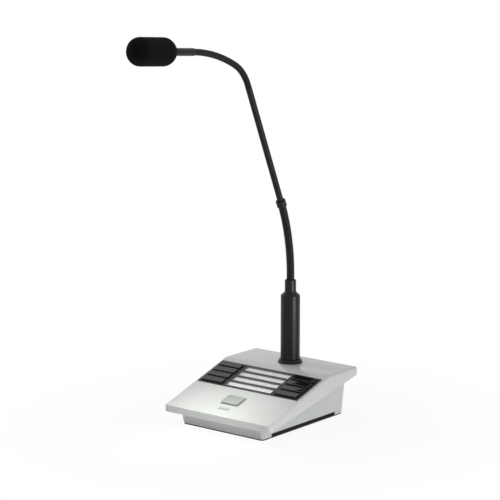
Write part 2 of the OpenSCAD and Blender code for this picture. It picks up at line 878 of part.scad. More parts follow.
// A bent tube that starts with the ball of its knuckle
module ball_and_tube(p, centre, bend, from_lean, to_lean, outer_d) {
    past = arc_degrees(outer_d, bend);
    difference() {
        union() {
            translate([0, p.x, p.y]) sphere(ball_r(outer_d));
            bent_rod(centre, bend, from_lean, to_lean, outer_d);
        }
        bent_rod(centre, bend, from_lean - past, to_lean + past, neck_bore);
    }
}

// The hollow that a cup leaves round its ball
module knuckle_hollow(p, outer_d) {
    translate([0, p.x, p.y]) sphere(ball_r(outer_d) + run_gap);
}

module lower_flex_root() {
    low = barrel_top + ferrule_cap_h;
    color("#202123") difference() {
        translate([0, stem_y, low]) tube(lower_flex_d, neck_bore, k1.y - cup_share * lower_r - low);
        knuckle_hollow(k1, lower_flex_d);
    }
}

module lower_flex_mid() {
    cup_lean = k2_lean - arc_degrees(cup_share * lower_r, lower_bend_r);
    color("#202123") difference() {
        ball_and_tube(k1, lower_centre, lower_bend_r, 0, cup_lean, lower_flex_d);
        knuckle_hollow(k2, lower_flex_d);
    }
}

module lower_flex_top() {
    end_lean = tube_lean - arc_degrees(coupling_web, lower_bend_r);
    color("#202123") ball_and_tube(k2, lower_centre, lower_bend_r, k2_lean, end_lean, lower_flex_d);
}

// The sleeve that joins the lower flexible section to the rigid tube, with a web between their ends
module neck_coupling() {
    round_over = 0.8;
    outer = lower_r + coupling_wall;
    bore = lower_r + 3 * tube_gap;
    color("#17181a") on_neck(tube_start, tube_lean) rotate_extrude() polygon([
        [bore, -coupling_len / 2],
        [outer - round_over, -coupling_len / 2],
        [outer, -coupling_len / 2 + round_over],
        [outer, coupling_len / 2 - round_over],
        [outer - round_over, coupling_len / 2],
        [upper_r + tube_gap, coupling_len / 2],
        [upper_r + tube_gap, 0],
        [neck_bore / 2, 0],
        [neck_bore / 2, -coupling_web + tube_gap],
        [bore, -coupling_web + tube_gap]
    ]);
}

module neck_tube() {
    color("#202123") difference() {
        on_neck(tube_start, tube_lean) tube(upper_flex_d, neck_bore, tube_len - cup_share * upper_r);
        knuckle_hollow(k3, upper_flex_d);
    }
}

module upper_flex_mid() {
    cup_lean = tight_end_lean - arc_degrees(cup_share * upper_r, tight_bend_r);
    color("#202123") difference() {
        ball_and_tube(k3, tight_centre, tight_bend_r, tube_lean, cup_lean, upper_flex_d);
        knuckle_hollow(k4, upper_flex_d);
    }
}

module upper_flex_top() {
    color("#202123") ball_and_tube(k4, wide_centre, wide_bend_r, tight_end_lean, head_lean, upper_flex_d);
}

// Each length of the signal cable stops short of the next ball, so that the knuckles can turn
function cable_stop(r) = r + 2 * run_gap;

module root_cable() {
    low = preamp_z + preamp_h;
    color("#3a3c3e") translate([0, stem_y, low])
        cylinder(d = cable_d, h = k1.y - cable_stop(lower_r) - low);
}

module lower_cable() {
    stop = arc_degrees(cable_stop(lower_r), lower_bend_r);
    color("#3a3c3e") bent_rod(lower_centre, lower_bend_r, 0, k2_lean - stop, cable_d);
}

module tube_cable() {
    color("#3a3c3e") {
        bent_rod(lower_centre, lower_bend_r, k2_lean, tube_lean, cable_d);
        on_neck(tube_start, tube_lean) translate([0, 0, -cable_lap])
            cylinder(d = cable_d - cable_step, h = tube_len - cable_stop(upper_r) + cable_lap);
    }
}

module upper_cable() {
    stop = arc_degrees(cable_stop(upper_r), tight_bend_r);
    color("#3a3c3e") bent_rod(tight_centre, tight_bend_r, tube_lean, tight_end_lean - stop, cable_d);
}

module head_cable() {
    color("#3a3c3e") {
        bent_rod(wide_centre, wide_bend_r, tight_end_lean, head_lean, cable_d);
        on_neck(rod_start, head_lean) translate([0, 0, -cable_lap])
            cylinder(d = cable_d - cable_step, h = capsule_start + capsule_floor + cable_lap);
    }
}

// Microphone

module on_head() {
    on_neck(rod_start, head_lean) children();
}

module microphone_rod() {
    round_over = 0.6;
    web = 1;
    color("#1a1b1d") on_head() rotate_extrude() polygon([
        [neck_bore / 2, 0],
        [rod_d / 2 - round_over, 0],
        [rod_d / 2, round_over],
        [rod_d / 2, capsule_start],
        [rod_d / 2 - rod_wall, capsule_start],
        [rod_d / 2 - rod_wall, web],
        [neck_bore / 2, web]
    ]);
}

module capsule_housing() {
    color("#2a2b2d") on_head() translate([0, 0, capsule_start]) difference() {
        cylinder(d = capsule_d, h = capsule_len);
        translate([0, 0, capsule_floor]) cylinder(d = capsule_d - 2 * capsule_wall, h = capsule_len);
        translate([0, 0, -over]) cylinder(d = neck_bore, h = capsule_len);
    }
}

// The capsule stands on the end of its cable's ring, under the grille
module microphone_capsule() {
    seat_h = capsule_len - capsule_floor - grille_t - capsule_unit_h;
    color("#6d7073") on_head() translate([0, 0, capsule_start + capsule_floor]) {
        tube(capsule_fit_d, capsule_d - 4 * capsule_wall, seat_h);
        translate([0, 0, seat_h]) cylinder(d = capsule_fit_d, h = capsule_unit_h);
    }
}

module capsule_grille() {
    hole_ring = capsule_d / 4;
    hole_d = 1.2;
    color("#55585b") on_head() translate([0, 0, capsule_end - grille_t]) difference() {
        cylinder(d = capsule_fit_d, h = grille_t);
        translate([0, 0, -over]) {
            cylinder(d = hole_d, h = grille_t + 2 * over);
            for (i = [0 : 5]) rotate([0, 0, 60 * i]) translate([hole_ring, 0, 0])
                cylinder(d = hole_d, h = grille_t + 2 * over);
        }
    }
}

// Foam with a rounded, slightly blunt nose and a blind bore that fits the rod and the capsule housing
module windscreen() {
    r = foam_d / 2;
    color("#161617") on_head() difference() {
        rotate_extrude() {
            translate([0, foam_start + r]) square([r, foam_len - 2 * r]);
            intersection() {
                translate([0, foam_start]) square([r, foam_len]);
                union() {
                    translate([0, foam_start + r]) circle(r);
                    translate([0, foam_end - r]) circle(r);
                    translate([0, foam_end - r]) square([foam_nose_flat, r]);
                    translate([foam_nose_flat, foam_end - (r - foam_nose_flat)]) circle(r - foam_nose_flat);
                }
            }
        }
        translate([0, 0, foam_start - over]) cylinder(d = rod_d + 2 * foam_gap, h = foam_len / 2);
        translate([0, 0, capsule_start - foam_gap])
            cylinder(d = capsule_d + 2 * foam_gap, h = capsule_len + 2 * foam_gap);
    }
}

anti_slip_mat();
bottom_plate();
bottom_screws();
lower_housing();
top_shell();
shell_screws();
io_board();
io_board_screws();
network_socket();
ribbon_cable();
main_board();
board_screws();
key_switches();
status_led();
status_lens();
left_bezel();
right_bezel();
label_frame();
label_cards();
label_windows();
for (i = [0 : 2 * key_rows - 1])
    zone_key(i);
talk_key();
stem_collar();
stem_barrel();
stem_washer();
stem_nut();
stem_cable();
preamp_board();
stem_ferrule();
lower_flex_root();
lower_flex_mid();
lower_flex_top();
neck_coupling();
neck_tube();
upper_flex_mid();
upper_flex_top();
root_cable();
lower_cable();
tube_cable();
upper_cable();
head_cable();
microphone_rod();
capsule_housing();
microphone_capsule();
capsule_grille();
windscreen();
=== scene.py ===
"""Looks of the paging microphone: finishes, gooseneck windings, foam, key caps, camera and light."""
import json
import math
from types import SimpleNamespace

import bmesh
import bpy
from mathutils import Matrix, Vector, noise


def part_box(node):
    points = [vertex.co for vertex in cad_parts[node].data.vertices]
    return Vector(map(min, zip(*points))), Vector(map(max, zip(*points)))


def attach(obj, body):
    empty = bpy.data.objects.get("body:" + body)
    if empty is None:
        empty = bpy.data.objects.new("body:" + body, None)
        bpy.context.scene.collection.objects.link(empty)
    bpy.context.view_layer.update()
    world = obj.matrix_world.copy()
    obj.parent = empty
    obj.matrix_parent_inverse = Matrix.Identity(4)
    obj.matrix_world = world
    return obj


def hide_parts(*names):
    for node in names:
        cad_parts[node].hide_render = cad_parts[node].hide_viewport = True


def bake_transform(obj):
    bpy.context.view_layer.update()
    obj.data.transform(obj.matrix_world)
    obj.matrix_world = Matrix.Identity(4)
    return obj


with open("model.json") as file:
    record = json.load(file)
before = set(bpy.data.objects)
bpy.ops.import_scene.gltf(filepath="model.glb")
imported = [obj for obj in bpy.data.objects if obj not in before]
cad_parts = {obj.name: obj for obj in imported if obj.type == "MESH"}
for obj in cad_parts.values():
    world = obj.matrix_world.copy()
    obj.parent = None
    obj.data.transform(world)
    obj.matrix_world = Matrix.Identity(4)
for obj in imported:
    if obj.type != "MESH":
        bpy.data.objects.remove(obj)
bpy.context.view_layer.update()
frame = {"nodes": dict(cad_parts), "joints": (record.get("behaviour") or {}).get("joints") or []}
nodes = frame["nodes"]
joints = {joint["name"]: joint for joint in frame["joints"]}

MM = 0.001
X_AXIS = Vector((1, 0, 0))
PANEL_UP = -Vector(joints["talk_key_press"]["axis"])
PANEL_BACK = PANEL_UP.cross(X_AXIS)

# Gooseneck: its bends lie in the plane x = 0, and leans are measured from the vertical towards the front
WIDE_BEND_R = 170 * MM
HEAD_LEAN = math.radians(86)
LOWER_PITCH = 1.9 * MM
UPPER_PITCH = 1.5 * MM
GROOVE = 0.32 * MM
WINDING_SIDES = 28
RINGS_PER_TURN = 8
IN_FERRULE = 3 * MM
IN_TUBE = 1.4 * MM
# Stretches beside the meeting of two lengths, and below the coupling, that the worked-out bending zones
# leave out
STIFF_MEETING = 1 * MM
STIFF_TOP = 8 * MM
# How far past the meeting the upper section's worked-out bending zone reaches
HEAD_ZONE = 36 * MM

# Windscreen, along its axis from the end that the rod enters
FOAM_LENGTH = 58 * MM
NOSE_LENGTH = 13 * MM
NOSE_POWER = 2.2
# Least radius of the nose's last loop, and the share of the bore's radius at which its end is closed
NOSE_TIP_R = 0.02 * MM
BORE_END_SHARE = 0.2
FOAM_GAP = 0.3 * MM
CAPSULE_START = 6 * MM
CAPSULE_LENGTH = 30 * MM
OUTLINE_STEPS = 60
FOAM_STEP = 0.36 * MM
FOAM_SIDES = 230
PORE_SIZE = 1.25 * MM
PORE_DEPTH = 0.42 * MM
# A pore's radius as a share of its size, and how steeply it falls in
PORE_REACH = 0.6
PORE_POWER = 1.3
FOAM_WAVE = 0.25 * MM
FOAM_WAVE_SIZE = 9 * MM

# Key caps
ZONE_CORNER_R = 1.2 * MM
ZONE_FILLET = 0.7 * MM
ZONE_DISH = 0.08 * MM
TALK_CORNER_R = 2.2 * MM
TALK_FILLET = 0.8 * MM
TALK_DISH = 0.6 * MM
PLUNGER_R = 1.7 * MM
CORNER_STEPS = 6
FILLET_STEPS = 5
DISH_STEPS = 9
PLUNGER_SIDES = 24
# How far the dish's loops run in towards its middle line, and how much shallower it is at its ends
DISH_REACH = 0.97
DISH_FADE = 0.35
# A node's points within this distance of its outermost one belong to the same face
FACE_LAYER = 0.05 * MM

# Socket contacts: a wire's route is (way in from the rear, rise over the cavity's floor), in millimetres
CONTACTS = 8
CONTACT_PITCH = 1.02 * MM
CONTACT_R = 0.23 * MM
CONTACT_SIDES = 10
CONTACT_ROUTE = [(1.6, 0.35), (3.0, 0.5), (6.0, 1.7), (9.0, 3.0), (11.6, 3.6)]
CONTACT_UP = Vector((0, 0.35, 0.94))
CAVITY_HEIGHT = 7 * MM

# Soft edges of the CAD nodes, with the widths of those that aren't fine
FINE_EDGE = 0.25 * MM
EDGES = {
    "top_shell": 0.9 * MM,
    "lower_housing": 0.7 * MM,
    "anti_slip_mat": 0.6 * MM,
    "stem_barrel": 0.4 * MM,
    "stem_collar": 0.4 * MM,
    "label_windows": 0.15 * MM,
    "label_cards": 0.05 * MM,
}
EDGE_STEPS = 3
EDGE_ANGLE = math.radians(35)
FLAT_ANGLE = math.radians(0.4)
WELD_GAP = 0.001 * MM
EVEN_WEIGHT = 80
# A node whose face has several pockets keeps its triangles, because one joined face would close a pocket
POCKETED = ("label_frame",)

# Finishes: the spans of a noise, or of the cosine of an edge's turn, over which a mark comes in
TONE_SPAN = (0.3, 0.7)
# the pores' span paints shade into the foam, darkest at each pore's middle
PORE_SHADE_SPAN = (0.1, 0.6)
FLECK_SPAN = (0.55, 0.75)
EDGE_SPAN = (0.99, 0.8)
RUB_SPAN = (0.35, 0.65)
RUB_SHARES = (0.2, 1)
RUB_SIZE = 4 * MM
# Places of a mix node's colour sockets, whose names repeat for each type of data
MIX_UNDER = 6
MIX_OVER = 7
MIX_OUT = 2

# Room: the floor's white share grows with the distance from the object, in metres
WHITE = (1, 1, 1, 1)
FLOOR_COLOUR = (0.65, 0.65, 0.65, 1)
FLOOR_REACH = 20
FADE_SPAN = (0.1, 0.3)
WHITE_SHARES = (0.93, 1)
AMBIENT = 0.5

# Lamps, in millimetres and degrees: in_gloss says whether glossy surfaces show the lamp, and the right one,
# which draws the streak on the stem, stands low so that the panel and the deck don't mirror it
LAMPS = {
    "front_softbox": dict(place=(-85, -112, 262), aim=(0, -122, 20), size=(140, 30), level=0.135,
                          spread=50, in_gloss=False),
    "fill_softbox": dict(place=(260, -420, 60), aim=(20, -75, 15), size=(120, 120), level=0.09,
                         in_gloss=False),
    "right_softbox": dict(place=(600, 0, 24), aim=(0, 48, 100), size=(300, 40), level=0.42),
    "left_softbox": dict(place=(-420, 20, 260), aim=(0, 45, 55), size=(160, 160), level=0.38,
                         in_gloss=False),
}

# Camera, measured on the photograph: it looks at the object from the front right, a little above
CAMERA_AZIMUTH = 38.35
CAMERA_ELEVATION = 10.05
CAMERA_DISTANCE = 2.0
CAMERA_PIVOT = Vector((0, 0, 200 * MM))
AIM_RIGHT = -12.1 * MM
AIM_UP = -20.4 * MM
FOCAL_LENGTH = 140.6
SENSOR = 36


# Shapes

def side(lean):
    """The direction in the gooseneck's plane that is square to its centre line, on the rear side."""
    return Vector((0, math.cos(lean), math.sin(lean)))


def heading(lean):
    """The direction of the gooseneck's centre line."""
    return Vector((0, -math.sin(lean), math.cos(lean)))


def half_width(node):
    """Half of a node's width across the object."""
    low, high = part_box(node)
    return (high.x - low.x) / 2


def linked(name, data):
    """A new object in the scene that holds some data."""
    made = bpy.data.objects.new(name, data)
    bpy.context.scene.collection.objects.link(made)
    return made


def new_piece(name, mesh, material, sharp_angle):
    """Links a mesh as a smooth-shaded piece with true outward normals."""
    work = bmesh.new()
    work.from_mesh(mesh)
    bmesh.ops.recalc_face_normals(work, faces=work.faces)
    work.to_mesh(mesh)
    work.free()
    mesh.shade_smooth()
    mesh.set_sharp_from_angle(angle=math.radians(sharp_angle))
    mesh.materials.append(material)
    return linked(name, mesh)


def skin(name, parts, material, sharp_angle=40):
    """One piece from parts that are each a row of loops of points, closed at both ends."""
    points, faces = [], []
    for loops in parts:
        base, size = len(points), len(loops[0])
        points += [point for loop in loops for point in loop]
        for row in range(len(loops) - 1):
            low = base + row * size
            for i in range(size):
                j = (i + 1) % size
                faces.append((low + i, low + j, low + size + j, low + size + i))
        last = base + (len(loops) - 1) * size
        faces.append(tuple(reversed(range(base, base + size))))
        faces.append(tuple(range(last, last + size)))
    mesh = bpy.data.meshes.new(name)
    mesh.from_pydata(points, [], faces)
    return new_piece(name, mesh, material, sharp_angle)


def ring(centre, across, up, radius, sides):
    """A round loop of points about a centre, between two square directions."""
    turns = [2 * math.pi * i / sides for i in range(sides)]
    return [centre + radius * (math.cos(t) * across + math.sin(t) * up) for t in turns]


def spaced(points, step):
    """Points at an even step along a line of points in a plane."""
    out = [points[0]]
    left = step
    for a, b in zip(points, points[1:]):
        length = (b - a).length
        done = left
        while done <= length:
            out.append(a.lerp(b, done / length))
            done += step
        left = done - length
    return out


# Finishes

def srgb(code):
    """A linear colour from its six-digit hex code."""
    values = [int(code[i:i + 2], 16) / 255 for i in (0, 2, 4)]
    linear = [v / 12.92 if v <= 0.04045 else ((v + 0.055) / 1.055) ** 2.4 for v in values]
    return (*linear, 1)


def operate(tree, kind, operation, *sockets):
    """The value that a math node makes of some sockets."""
    made = tree.nodes.new(kind)
    made.operation = operation
    for socket, target in zip(sockets, made.inputs):
        tree.links.new(socket, target)
    return made.outputs["Value"]


def mix_shaders(tree, output, share, under, over):
    """Leads a shader mixed over another by a share to a tree's output node."""
    mix = tree.nodes.new("ShaderNodeMixShader")
    for socket, target in zip((share, under, over), mix.inputs):
        tree.links.new(socket, target)
    tree.links.new(mix.outputs["Shader"], tree.nodes[output].inputs["Surface"])


class Finish:
    """One procedural material, built step by step round a principled shader."""

    def __init__(self, name, **sockets):
        self.made = bpy.data.materials.new(name)
        self.made.use_nodes = True
        self.tree = self.made.node_tree
        self.shader = self.tree.nodes["Principled BSDF"]
        self.place = self.tree.nodes.new("ShaderNodeTexCoord").outputs["Object"]
        for socket, value in sockets.items():
            self.shader.inputs[socket.replace("_", " ")].default_value = value

    def node(self, kind, **inputs):
        """A new node, with values set on or outputs linked to its inputs by name."""
        made = self.tree.nodes.new(kind)
        for name, value in inputs.items():
            socket = made.inputs[name.replace("_", " ")]
            if isinstance(value, bpy.types.NodeSocket):
                self.tree.links.new(value, socket)
            else:
                socket.default_value = value
        return made

    def cloud(self, size, detail=4, stretch=None):
        """A soft noise whose features have the given size, drawn out along the axes if asked."""
        place = self.place
        if stretch:
            place = self.node("ShaderNodeMapping", Vector=place, Scale=stretch).outputs["Vector"]
        return self.node("ShaderNodeTexNoise", Vector=place, Scale=1 / size, Detail=detail).outputs["Fac"]

    def pores(self, size):
        """The distance to the nearest of many scattered points."""
        return self.node("ShaderNodeTexVoronoi", Vector=self.place, Scale=1 / size).outputs["Distance"]

    def ramp(self, value, span, dark, light):
        """A colour that goes from a dark tone to a light one over a span of a value."""
        made = self.node("ShaderNodeValToRGB", Fac=value)
        for element, position, code in zip(made.color_ramp.elements, span, (dark, light)):
            element.position = position
            element.color = srgb(code)
        return made.outputs["Color"]

    def span(self, value, before, after):
        """A value mapped from one span to another."""
        made = self.node("ShaderNodeMapRange", Value=value)
        for name, number in zip(("From Min", "From Max", "To Min", "To Max"), (*before, *after)):
            made.inputs[name].default_value = number
        return made.outputs["Result"]

    def mix(self, share, under, over):
        """A colour mixed over another by a share."""
        made = self.tree.nodes.new("ShaderNodeMix")
        made.data_type = "RGBA"
        self.tree.links.new(share, made.inputs["Factor"])
        self.tree.links.new(under, made.inputs[MIX_UNDER])
        made.inputs[MIX_OVER].default_value = over
        return made.outputs[MIX_OUT]

    def paint(self, colour):
        """Leads a colour to the shader, in place of the one before."""
        self.colour = colour
        self.tree.links.new(colour, self.shader.inputs["Base Color"])

    def mottled(self, dark, light, size, detail=5):
        """Colour that drifts between two close tones."""
        self.paint(self.ramp(self.cloud(size, detail), TONE_SPAN, dark, light))

    def flecked(self, colour, size, share):
        """Fine flecks of another tone over the colour."""
        flecks = self.span(self.cloud(size, detail=2), FLECK_SPAN, (0, share))
        self.paint(self.mix(flecks, self.colour, srgb(colour)))

    def worn(self, colour, width, share):
        """A rubbed tone along the edges, broken up by noise."""
        bevel = self.node("ShaderNodeBevel", Radius=width).outputs["Normal"]
        normal = self.tree.nodes.new("ShaderNodeNewGeometry").outputs["Normal"]
        turn = operate(self.tree, "ShaderNodeVectorMath", "DOT_PRODUCT", bevel, normal)
        edge = self.span(turn, EDGE_SPAN, (0, share))
        rub = self.span(self.cloud(RUB_SIZE), RUB_SPAN, RUB_SHARES)
        broken = operate(self.tree, "ShaderNodeMath", "MULTIPLY", edge, rub)
        self.paint(self.mix(broken, self.colour, srgb(colour)))

    def rough(self, limits, size):
        """Roughness that drifts between two limits, as it does on a handled surface."""
        drift = self.span(self.cloud(size), TONE_SPAN, limits)
        self.tree.links.new(drift, self.shader.inputs["Roughness"])

    def grain(self, height, depth):
        """Relief from a height, added to any relief that is there already."""
        made = self.node("ShaderNodeBump", Height=height, Distance=depth)
        before = self.shader.inputs["Normal"].links
        if before:
            self.tree.links.new(before[0].from_socket, made.inputs["Normal"])
        self.tree.links.new(made.outputs["Normal"], self.shader.inputs["Normal"])


def moulded(name, dark, light, rubbed, rough, **sockets):
    """Moulded plastic: drifting tone, spark-eroded grain, handled gloss and rubbed edges."""
    finish = Finish(name, **sockets)
    finish.mottled(dark, light, size=25 * MM)
    finish.worn(rubbed, width=0.5 * MM, share=0.5)
    finish.rough(rough, size=12 * MM)
    finish.grain(finish.cloud(0.3 * MM, detail=2), depth=0.012 * MM)
    return finish.made


def painted(name, dark, light, fleck, rubbed, rough, **sockets):
    """Silver lacquer: fine metal flecks in a drifting tone, a slight orange peel and rubbed edges."""
    finish = Finish(name, **sockets)
    finish.mottled(dark, light, size=60 * MM)
    finish.flecked(fleck, size=0.35 * MM, share=0.3)
    finish.worn(rubbed, width=0.6 * MM, share=0.5)
    finish.rough(rough, size=30 * MM)
    finish.grain(finish.cloud(1.2 * MM, detail=2), depth=0.006 * MM)
    finish.grain(finish.cloud(0.25 * MM, detail=2), depth=0.002 * MM)
    return finish.made


def turned(name, dark, light, rubbed, rough, **sockets):
    """Coated metal with faint turning marks round the vertical."""
    finish = Finish(name, **sockets)
    finish.mottled(dark, light, size=15 * MM)
    finish.worn(rubbed, width=0.4 * MM, share=0.6)
    finish.rough(rough, size=8 * MM)
    finish.grain(finish.cloud(1 * MM, detail=3, stretch=(0.2, 0.2, 6)), depth=0.01 * MM)
    return finish.made


def steel(name, dark, light, rough):
    """Plated steel with fine scratches."""
    finish = Finish(name, Metallic=1.0)
    finish.mottled(dark, light, size=6 * MM)
    finish.rough(rough, size=5 * MM)
    finish.grain(finish.cloud(0.5 * MM, detail=3, stretch=(8, 1, 1)), depth=0.008 * MM)
    return finish.made


def rubber(name, dark, light):
    """Matt rubber with a pebbled face."""
    finish = Finish(name, Specular_IOR_Level=0.25)
    finish.mottled(dark, light, size=12 * MM)
    finish.rough((0.75, 0.92), size=6 * MM)
    finish.grain(finish.pores(0.9 * MM), depth=0.06 * MM)
    return finish.made


def foam(name, dark, light):
    """Open-cell foam: pitted pores with painted shade in them, in a matt, slightly fuzzy skin."""
    finish = Finish(name, Sheen_Weight=0.03, Sheen_Roughness=0.6, Specular_IOR_Level=0.05)
    cells = finish.pores(0.7 * MM)
    # painted shade: the colour darkens towards each pore's middle, where the relief sinks into a pit
    finish.paint(finish.ramp(cells, PORE_SHADE_SPAN, dark, light))
    finish.rough((0.88, 0.98), size=5 * MM)
    finish.grain(cells, depth=0.25 * MM)
    finish.grain(finish.cloud(0.3 * MM), depth=0.08 * MM)
    return finish.made


def paper(name, dark, light):
    """Card stock with a faint fibre."""
    finish = Finish(name, Specular_IOR_Level=0.3)
    finish.mottled(dark, light, size=8 * MM)
    finish.rough((0.7, 0.85), size=4 * MM)
    finish.grain(finish.cloud(0.4 * MM, stretch=(1, 3, 3)), depth=0.01 * MM)
    return finish.made


def clear(name, dark, light, alpha, rough):
    """Clear plastic over what lies under it, with faint smears."""
    finish = Finish(name, Alpha=alpha, IOR=1.49)
    finish.mottled(dark, light, size=10 * MM)
    finish.rough(rough, size=8 * MM)
    finish.grain(finish.cloud(6 * MM, detail=2), depth=0.02 * MM)
    return finish.made


def board(name, dark, light):
    """Lacquered circuit board: a mottled green with specks of gold under the lacquer."""
    finish = Finish(name)
    finish.mottled(dark, light, size=3 * MM, detail=2)
    finish.flecked("c8b468", size=1.4 * MM, share=0.35)
    finish.rough((0.25, 0.4), size=6 * MM)
    finish.grain(finish.cloud(0.6 * MM), depth=0.02 * MM)
    return finish.made


FINISHES = {
    "shell_grey": painted("shell_grey", "c0c3bf", "c8cac7", fleck="d2d4d1", rubbed="d6d8d5",
                          rough=(0.19, 0.26)),
    "pedestal_grey": painted("pedestal_grey", "bcbfbd", "c4c7c5", fleck="d0d2d1", rubbed="d2d4d3",
                             rough=(0.35, 0.45), Specular_IOR_Level=0.4),
    "key_black": moulded("key_black", "0a0b0c", "0f1011", rubbed="2c2e31", rough=(0.07, 0.14),
                         Specular_IOR_Level=0.4),
    "bezel_black": moulded("bezel_black", "0b0c0d", "101112", rubbed="2a2c2f", rough=(0.28, 0.36),
                           Specular_IOR_Level=0.3),
    "frame_dark": moulded("frame_dark", "2b2d2f", "343638", rubbed="5a5d60", rough=(0.4, 0.55)),
    "key_pale": moulded("key_pale", "989f97", "a0a69f", rubbed="b1b6af", rough=(0.42, 0.55)),
    "label_card": paper("label_card", "ecece8", "f4f4f0"),
    "label_window": clear("label_window", "eef2f0", "f6f9f8", alpha=0.14, rough=(0.06, 0.16)),
    "lamp_lens": clear("lamp_lens", "a6ada4", "b2b9b0", alpha=0.92, rough=(0.18, 0.26)),
    "lamp_led": clear("lamp_led", "cfdcc0", "dbe6cf", alpha=0.7, rough=(0.1, 0.2)),
    "mat_rubber": rubber("mat_rubber", "3a3c3d", "484a4b"),
    "plate_steel": turned("plate_steel", "0f1011", "151617", rubbed="303234", rough=(0.5, 0.65),
                          Specular_IOR_Level=0.2),
    "screw_steel": steel("screw_steel", "8d9092", "a9acae", rough=(0.22, 0.38)),
    "nut_steel": steel("nut_steel", "94979a", "b0b3b5", rough=(0.22, 0.38)),
    "board_green": board("board_green", "174a2d", "1f5b3a"),
    "switch_black": moulded("switch_black", "232527", "2d2f31", rubbed="505356", rough=(0.4, 0.55)),
    "socket_black": moulded("socket_black", "1d1f20", "27292b", rubbed="47494c", rough=(0.38, 0.52)),
    "cable_grey": moulded("cable_grey", "85898c", "94989b", rubbed="a5a8aa", rough=(0.5, 0.65)),
    "cable_black": moulded("cable_black", "242527", "2e3032", rubbed="45474a", rough=(0.5, 0.65)),
    "stem_black": turned("stem_black", "0c0d0e", "111213", rubbed="404244", rough=(0.28, 0.36),
                         Specular_IOR_Level=0.22),
    "neck_black": turned("neck_black", "0f1011", "151617", rubbed="404245", rough=(0.38, 0.5),
                         Specular_IOR_Level=0.18),
    "capsule_metal": steel("capsule_metal", "45484b", "5a5d60", rough=(0.3, 0.45)),
    # the foam's darker tone is painted shade in its pores
    "foam_black": foam("foam_black", "070708", "131314"),
}
CONTACT_GOLD = steel("contact_gold", "c79a3c", "dcb45c", rough=(0.2, 0.32))


# CAD nodes: finishes, and rounded edges by modifiers alone

def soften(node, width, join_flats):
    """Rounds a node's sharp edges and evens its shading, over flat faces that are joined if asked."""
    weld = node.modifiers.new("weld", "WELD")
    weld.merge_threshold = WELD_GAP
    if join_flats:
        flat = node.modifiers.new("flat", "DECIMATE")
        flat.decimate_type = "DISSOLVE"
        flat.angle_limit = FLAT_ANGLE
    edge = node.modifiers.new("edge", "BEVEL")
    edge.width = width
    edge.segments = EDGE_STEPS
    edge.limit_method = "ANGLE"
    edge.angle_limit = EDGE_ANGLE
    even = node.modifiers.new("even", "WEIGHTED_NORMAL")
    even.weight = EVEN_WEIGHT


def dress_nodes():
    """Gives every CAD node its finish and soft edges."""
    for name, node in nodes.items():
        for i, material in enumerate(node.data.materials):
            node.material_slots[i].link = "OBJECT"
            node.material_slots[i].material = FINISHES[material.name.split(".")[0]]
        soften(node, EDGES.get(name, FINE_EDGE), name not in POCKETED)


# Gooseneck

def joint_place(name):
    """The pivot of a joint in the object's frame."""
    return Vector(joints[name]["pos_m"])


def joint_lean(name):
    """The lean of the centre line at a joint whose axis is square to it in the gooseneck's plane."""
    axis = joints[name]["axis"]
    return math.atan2(axis[2], axis[1])


def bend_radius(start, end, start_lean, end_lean):
    """The radius of the bend between two points of the centre line, from the leans there."""
    return (end - start).length / (2 * math.sin((end_lean - start_lean) / 2))


def on_path(path, distance):
    """The point and lean at a distance along stretches of (start, lean, length, bend radius or None)."""
    for start, lean, length, bend in path:
        if distance <= length:
            break
        distance -= length
    else:
        distance += length
    if bend is None:
        return start + distance * heading(lean), lean
    turned_lean = lean + distance / bend
    return start + bend * (side(turned_lean) - side(lean)), turned_lean


def winding(name, path, first, last, radius, pitch):
    """A length of spiral-wound tube: rounded turns with a sharp groove between them."""
    count = max(2, round((last - first) / pitch * RINGS_PER_TURN))
    loops = []
    for row in range(count + 1):
        along = first + (last - first) * row / count
        point, lean = on_path(path, along)
        loop = []
        for i in range(WINDING_SIDES):
            share = i / WINDING_SIDES
            turn = 2 * ((along / pitch - share) % 1) - 1
            reach = radius - GROOVE * turn ** 2
            angle = 2 * math.pi * share
            loop.append(point + reach * (math.cos(angle) * side(lean) + math.sin(angle) * X_AXIS))
        loops.append(loop)
    return skin(name, [loops], FINISHES["neck_black"], sharp_angle=75)


def bend_piece(name, path, ends, zone, radius, pitch, replaced):
    """A length of winding along its path, baked in place of the nodes it replaces; the zone's ends are
    worked out but not used.
    """
    piece = winding(name, path, *ends, radius, pitch)
    start, end = (on_path(path, distance)[0] for distance in zone)
    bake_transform(piece)
    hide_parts(*replaced)


def make_lower_section():
    """The lower flexible section, from the ferrule to the coupling, in two lengths."""
    first, second = joint_place("neck_tilt"), joint_place("neck_side_lean")
    second_lean = joint_lean("neck_side_lean")
    radius = half_width("lower_flex_root")
    root = first - Vector((0, 0, first.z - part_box("stem_ferrule")[1].z + IN_FERRULE))
    root_len = first.z - root.z
    bend = bend_radius(first, second, 0, second_lean)
    bend_len = bend * 2 * second_lean
    path = [(root, 0, root_len, None), (first, 0, bend_len, bend)]
    middle = root_len + bend * second_lean / 2
    end = root_len + bend_len
    bend_piece("lower_winding_1", path, (0, middle), (IN_FERRULE, middle - STIFF_MEETING), radius,
               LOWER_PITCH, ("lower_flex_root", "lower_flex_mid"))
    bend_piece("lower_winding_2", path, (middle, end), (middle + STIFF_MEETING, end - STIFF_TOP), radius,
               LOWER_PITCH, ("lower_flex_top",))


